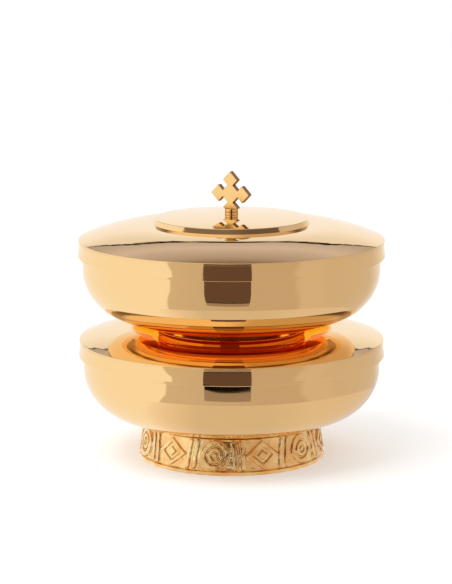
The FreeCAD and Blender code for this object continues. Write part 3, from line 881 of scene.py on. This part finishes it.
# Every sawn side of the cross is painted darker, a painted shade along its edges.
sawn_edge_shade = cross.data.attributes.new("cut_shade", "FLOAT", "FACE")
edge_shade_share = 0.85
sawn_edge_shade.data.foreach_set("value", np.array([edge_shade_share] * len(sides) + [0.0, 0.0], np.float32))
shape = bmesh.new()
shape.from_mesh(cross.data)
bmesh.ops.recalc_face_normals(shape, faces=shape.faces)
shape.to_mesh(cross.data)
shape.free()

stem_radius, pitch, thread_depth = 1.5, 0.5, 0.12
thread_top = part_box("lid_nut")[1].z / MM
stem_up = np.linspace(cross_low.z, cross_foot + 0.2, 240)
fade = np.clip((thread_top - stem_up) / 0.5, 0, 1)
thread = thread_depth * fade * (0.5 - 0.5 * np.cos(2 * math.pi * stem_up / pitch))
stem_side = np.stack([stem_radius - thread, stem_up], axis=1)
stem = turned(
    "cross_stem",
    np.concatenate([[[0, stem_up[0]]], stem_side, [[0, stem_up[-1]]]]) * MM,
    48,
)
wear(satin_gilt, cross, stem)
for piece in (cross, stem):
    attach(piece, "lid")
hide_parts("lid_cross")


# ---------------------------------------------------------------------------------------------
# Studio. A pale floor and backdrop under soft light. Polished metal shows what stands round it:
# a white wall on its left and behind, a greyer one on its right, the dim room above the walls,
# a soft light overhead, and the dark gap that the lens looks through.

view_turn = math.radians(33.0)
view_lift = math.radians(11.1)
view_distance = 1.2
aim = Vector((0, 0, 0.075))
level_reach = math.cos(view_lift)
toward = Vector(
    (math.sin(view_turn) * level_reach, -math.cos(view_turn) * level_reach, math.sin(view_lift))
)
camera_data = bpy.data.cameras.new("camera")
camera = bpy.data.objects.new("camera", camera_data)
bpy.context.scene.collection.objects.link(camera)
camera.location = aim + toward * view_distance
camera.rotation_euler = (-toward).to_track_quat("-Z", "Y").to_euler()
camera_data.lens = 140.7
camera_data.sensor_width = 36.0
camera_data.shift_x = -0.0094
camera_data.shift_y = 0.0373
camera_data.clip_start = 0.01
bpy.context.scene.camera = camera
bpy.context.scene.view_settings.view_transform = "Standard"


def turned_angle(tree, vector):
    """Azimuth of a vector in degrees, 0 towards the lens and positive to its right."""
    swung = add_node(
        tree, "ShaderNodeVectorRotate", {"Vector": vector, "Angle": -view_turn}, rotation_type="Z_AXIS"
    )
    axes = add_node(tree, "ShaderNodeSeparateXYZ", {"Vector": swung.outputs[0]})
    near = add_node(tree, "ShaderNodeMath", {0: axes.outputs["Y"], 1: -1.0}, operation="MULTIPLY")
    turn = add_node(tree, "ShaderNodeMath", {0: axes.outputs["X"], 1: near.outputs[0]}, operation="ARCTAN2")
    return add_node(tree, "ShaderNodeMath", {0: turn.outputs[0]}, operation="DEGREES").outputs[0]


def graded(tree, value, low, high, stops):
    """Colour that changes along a value in degrees, by (degree, sRGB hex) stops."""
    share = add_node(
        tree, "ShaderNodeMapRange", {"Value": value, "From Min": low, "From Max": high}
    )
    ramp = add_node(tree, "ShaderNodeValToRGB", {"Fac": share.outputs["Result"]})
    while len(ramp.color_ramp.elements) < len(stops):
        ramp.color_ramp.elements.new(0.5)
    for element, (degree, colour) in zip(ramp.color_ramp.elements, stops):
        element.position = (degree - low) / (high - low)
        element.color = linear(colour)
    return ramp.outputs["Color"]


wall_stops = [
    (-180, "#FFFFFF"), (-44.6, "#FFFFFF"), (-43.8, "#D6CDC6"), (10, "#CBBFB6"), (45, "#CBBFB6"),
    (50, "#D9CFC8"), (66, "#D9CFC8"), (74, "#D4CBC5"), (125, "#D6CFCB"), (165, "#FFFFFF"),
    (180, "#FFFFFF"),
]
room_stops = [
    (0, "#BEB8BD"), (26.5, "#BEB8BD"), (37, "#D5D1DE"), (44, "#C3BECB"), (50, "#B4ADB8"),
    (56, "#8C7F7E"), (63, "#857B74"), (71, "#FFFFFF"), (90, "#FFFFFF"),
]
front_stops = [(0, "#857A73"), (26, "#857A73"), (32, "#FFFFFF"), (90, "#FFFFFF")]
canopy_stops = [
    (-180, "#FFFFFF"), (-10, "#FFFFFF"), (25, "#D3CDC9"), (120, "#D3CDC9"), (165, "#FFFFFF"),
    (180, "#FFFFFF"),
]
world = bpy.data.worlds.new("studio")
world.use_nodes = True
bpy.context.scene.world = world
tree = world.node_tree
tree.nodes.clear()
heading = add_node(tree, "ShaderNodeTexCoord")
azimuth = turned_angle(tree, heading.outputs["Generated"])
rise = add_node(tree, "ShaderNodeSeparateXYZ", {"Vector": heading.outputs["Generated"]})
lift = add_node(tree, "ShaderNodeMath", {0: rise.outputs["Z"]}, operation="ARCSINE")
elevation = add_node(tree, "ShaderNodeMath", {0: lift.outputs[0]}, operation="DEGREES").outputs[0]
walls = graded(tree, azimuth, -180, 180, wall_stops)
room = graded(tree, elevation, 0, 90, room_stops)
# The wall behind stands higher than the ones beside the lens, and a dark seam runs along its top.
away = add_node(tree, "ShaderNodeMath", {0: azimuth}, operation="ABSOLUTE")
share = add_node(tree, "ShaderNodeMath", {0: away.outputs[0], 1: 180.0}, operation="DIVIDE")
wall_top = add_node(tree, "ShaderNodeFloatCurve", {"Value": share.outputs[0]})
top_curve = wall_top.mapping
top_curve.use_clip = False
top_points = top_curve.curves[0].points
curve_scale = 40.0                          # degrees of height that the curve's 1 stands for
low_top, back_top = 15.5, 26.5
for degree, top in (
    (162.6, low_top), (163.2, 17.5), (163.7, 20.5), (164.6, 23.4), (166.0, 26.0), (168.0, 28.0),
    (171.0, 27.8), (176.0, 26.4),
):
    top_points.new(degree / 180, top / curve_scale)
by_degree = sorted(top_points, key=lambda point: point.location.x)
by_degree[0].location = (0.0, low_top / curve_scale)
by_degree[-1].location = (1.0, back_top / curve_scale)
for point in top_points:
    point.handle_type = "VECTOR"
top_curve.update()
top_degree = add_node(
    tree, "ShaderNodeMath", {0: wall_top.outputs[0], 1: curve_scale}, operation="MULTIPLY"
)
over_top = add_node(
    tree, "ShaderNodeMath", {0: elevation, 1: top_degree.outputs[0]}, operation="SUBTRACT"
)
above = add_node(
    tree, "ShaderNodeMapRange", {"Value": over_top.outputs[0], "From Min": 0.0, "From Max": 0.25}
)
past_seam = add_node(
    tree, "ShaderNodeMapRange", {"Value": over_top.outputs[0], "From Min": 2.0, "From Max": 2.5}
)
behind = add_node(
    tree, "ShaderNodeMapRange", {"Value": away.outputs[0], "From Min": 125.0, "From Max": 150.0}
)
canopy = graded(tree, azimuth, -180, 180, canopy_stops)
front = graded(tree, elevation, 0, 90, front_stops)
front_room = add_node(
    tree,
    "ShaderNodeMix",
    {"Factor": 1.0, "A": front, "B": canopy},
    data_type="RGBA",
    blend_type="MULTIPLY",
)
side_room = add_node(
    tree,
    "ShaderNodeMix",
    {"Factor": behind.outputs["Result"], "A": front_room.outputs["Result"], "B": room},
    data_type="RGBA",
)
at_seam = add_node(
    tree, "ShaderNodeMath", {0: away.outputs[0], 1: 162.0}, operation="LESS_THAN"
)
no_seam = add_node(
    tree, "ShaderNodeMath", {0: past_seam.outputs["Result"], 1: at_seam.outputs[0]}, operation="MAXIMUM"
)
seam = add_node(
    tree,
    "ShaderNodeMix",
    {"Factor": no_seam.outputs[0], "A": linear("#0A0807"), "B": side_room.outputs["Result"]},
    data_type="RGBA",
)
dusk = add_node(
    tree, "ShaderNodeMapRange", {"Value": elevation, "From Min": 14.0, "From Max": 23.0}
)
shaded_walls = add_node(
    tree,
    "ShaderNodeMix",
    {"Factor": dusk.outputs["Result"], "A": walls, "B": linear("#F0F0F0")},
    data_type="RGBA",
    blend_type="MULTIPLY",
)
mirrored = add_node(
    tree,
    "ShaderNodeMix",
    {
        "Factor": above.outputs["Result"],
        "A": shaded_walls.outputs["Result"],
        "B": seam.outputs["Result"],
    },
    data_type="RGBA",
)
ray = add_node(tree, "ShaderNodeLightPath")
surround = add_node(tree, "ShaderNodeBackground", {"Color": mirrored.outputs["Result"], "Strength": 1.0})
ambient = add_node(tree, "ShaderNodeBackground", {"Color": linear("#FFFFFF"), "Strength": 0.82})
white = add_node(tree, "ShaderNodeBackground", {"Color": linear("#FFFFFF"), "Strength": 1.0})
by_gloss = add_node(
    tree,
    "ShaderNodeMixShader",
    {0: ray.outputs["Is Glossy Ray"], 1: ambient.outputs[0], 2: surround.outputs[0]},
)
by_eye = add_node(
    tree,
    "ShaderNodeMixShader",
    {0: ray.outputs["Is Camera Ray"], 1: by_gloss.outputs[0], 2: white.outputs[0]},
)
add_node(tree, "ShaderNodeOutputWorld", {"Surface": by_eye.outputs[0]})


def card(name, corners, colour):
    """Upright reflector that only polished metal shows, given by its corners."""
    piece = make_piece(name, np.array(corners), [list(range(len(corners)))])
    material = bpy.data.materials.new(name)
    material.use_nodes = True
    tree = material.node_tree
    tree.nodes.clear()
    glow = add_node(tree, "ShaderNodeEmission", {"Color": linear(colour), "Strength": 1.0})
    add_node(tree, "ShaderNodeOutputMaterial", {"Surface": glow.outputs[0]})
    wear(material, piece)
    piece.visible_camera = False
    piece.visible_diffuse = False
    piece.visible_shadow = False


def studio_point(right, near, up):
    """Point given by its distance to the lens's right, towards the lens and up, in mm."""
    x = right * math.cos(view_turn) + near * math.sin(view_turn)
    y = right * math.sin(view_turn) - near * math.cos(view_turn)
    return (x * MM, y * MM, up * MM)


gap_near, gap_left, gap_right = 182, -53, 37
sill_foot, gap_edge, gap_foot, gap_top = 4, 26, 30, 175
for name, low, high, colour in (
    ("lens_gap", gap_foot, gap_top, "#65514A"),
    ("lens_gap_foot", gap_edge, gap_foot, "#0C0A09"),
    ("lens_gap_sill", sill_foot, gap_edge, "#A1938E"),
):
    card_corners = ((gap_left, low), (gap_right, low), (gap_right, high), (gap_left, high))
    card(name, [studio_point(across, gap_near, up) for across, up in card_corners], colour)

floor_reach = 6.0
floor_corners = floor_reach * np.array([(-1, -1, 0), (1, -1, 0), (1, 1, 0), (-1, 1, 0)])
floor = make_piece("floor", floor_corners, [[0, 1, 2, 3]])
floor_paper = bpy.data.materials.new("floor_paper")
floor_paper.use_nodes = True
tree = floor_paper.node_tree
tree.nodes.clear()
spot = add_node(tree, "ShaderNodeTexCoord")
floor_turn = turned_angle(tree, spot.outputs["Object"])
floor_walls = graded(tree, floor_turn, -180, 180, wall_stops)
# Painted light: glossy rays see the floor as a glow by position, greyer in front of and right of the foot
# and taking the walls' tones past 0.15 m, instead of the floor's own shading.
painted_table_stops = [
    (-180, "#FFFFFF"), (-55, "#FFFFFF"), (-38, "#F0E8E4"), (-20, "#DCD5CD"), (20, "#DAD3CB"),
    (50, "#E4DCD6"), (130, "#E0D8D8"), (165, "#FFFFFF"), (180, "#FFFFFF"),
]
painted_table_light = graded(tree, floor_turn, -180, 180, painted_table_stops)
distance = add_node(tree, "ShaderNodeVectorMath", {0: spot.outputs["Object"]}, operation="LENGTH")
beyond = add_node(
    tree,
    "ShaderNodeMapRange",
    {"Value": distance.outputs["Value"], "From Min": 0.148, "From Max": 0.151},
)
painted_floor_light = add_node(
    tree,
    "ShaderNodeMix",
    {"Factor": beyond.outputs["Result"], "A": painted_table_light, "B": floor_walls},
    data_type="RGBA",
)
ray = add_node(tree, "ShaderNodeLightPath")
matt = add_node(tree, "ShaderNodeBsdfDiffuse", {"Color": linear("#F4F4F4")})
lifted = add_node(tree, "ShaderNodeEmission", {"Color": linear("#FFFFFF"), "Strength": 0.26})
seen_floor = add_node(tree, "ShaderNodeAddShader", {0: matt.outputs[0], 1: lifted.outputs[0]})
# The painted floor light, shown to glossy rays only.
mirrored_floor = add_node(
    tree, "ShaderNodeEmission", {"Color": painted_floor_light.outputs["Result"], "Strength": 1.0}
)
either = add_node(
    tree,
    "ShaderNodeMixShader",
    {0: ray.outputs["Is Glossy Ray"], 1: seen_floor.outputs[0], 2: mirrored_floor.outputs[0]},
)
add_node(tree, "ShaderNodeOutputMaterial", {"Surface": either.outputs[0]})
wear(floor_paper, floor)

# One broad lamp above and to the left gives the floor its soft shadow; metal doesn't show it.
lamp_data = bpy.data.lights.new("soft_lamp", "AREA")
lamp_data.shape = "SQUARE"
lamp_data.size = 0.9
lamp_data.energy = 6.0
lamp = bpy.data.objects.new("soft_lamp", lamp_data)
bpy.context.scene.collection.objects.link(lamp)
lamp.location = studio_point(-500, 350, 1100)
lamp.rotation_euler = (aim - lamp.location).to_track_quat("-Z", "Y").to_euler()
lamp.visible_glossy = False
